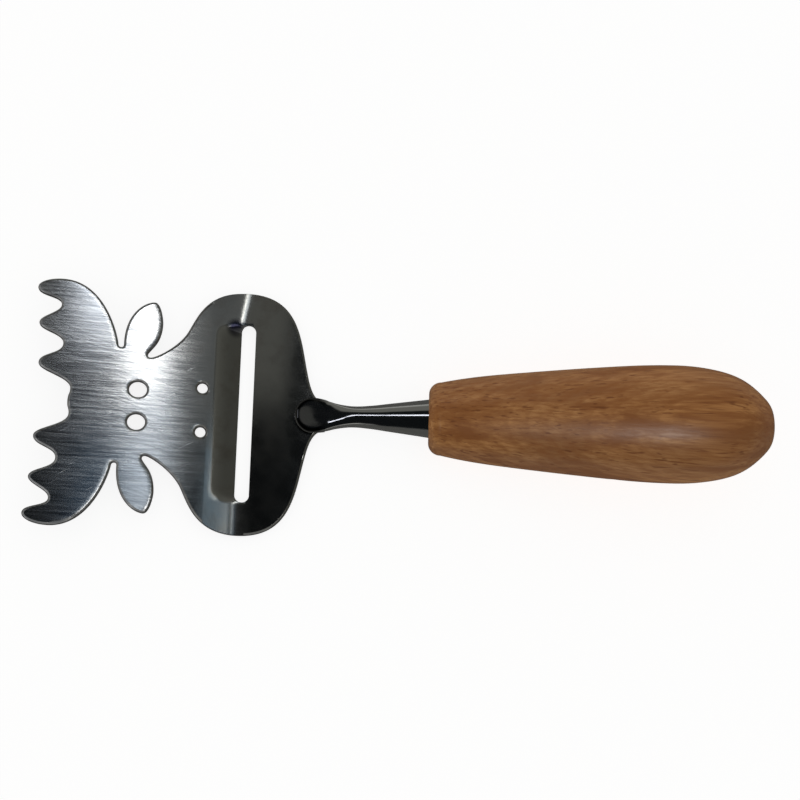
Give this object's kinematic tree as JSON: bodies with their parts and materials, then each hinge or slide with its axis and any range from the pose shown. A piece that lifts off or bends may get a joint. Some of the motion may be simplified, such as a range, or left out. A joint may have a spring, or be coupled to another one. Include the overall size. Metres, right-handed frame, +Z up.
{
  "type": "cheese plane",
  "caption": "Hand cheese slicer: a pressed steel blade in the outline of a moose head with a cutting slot, on a forged shank with a turned wooden handle.",
  "frame": {"origin": "middle of the footprint, on the surface that the tool lies on, resting on the cutting lip and on the underside of the handle", "axes": "+X from the antler tips to the butt of the handle, +Y across the blade along the slot, +Z up out of the upper face of the blade"},
  "size_m": [0.2274, 0.0764, 0.033],
  "materials": {
    "blade": "brushed along the tool, satin",
    "shank": "mirror-polished stainless steel",
    "handle": "oiled beech"
  },
  "bodies": {
    "root": {"blade": "blade", "shank": "shank", "handle": "handle"}
  },
  "joints": []
}
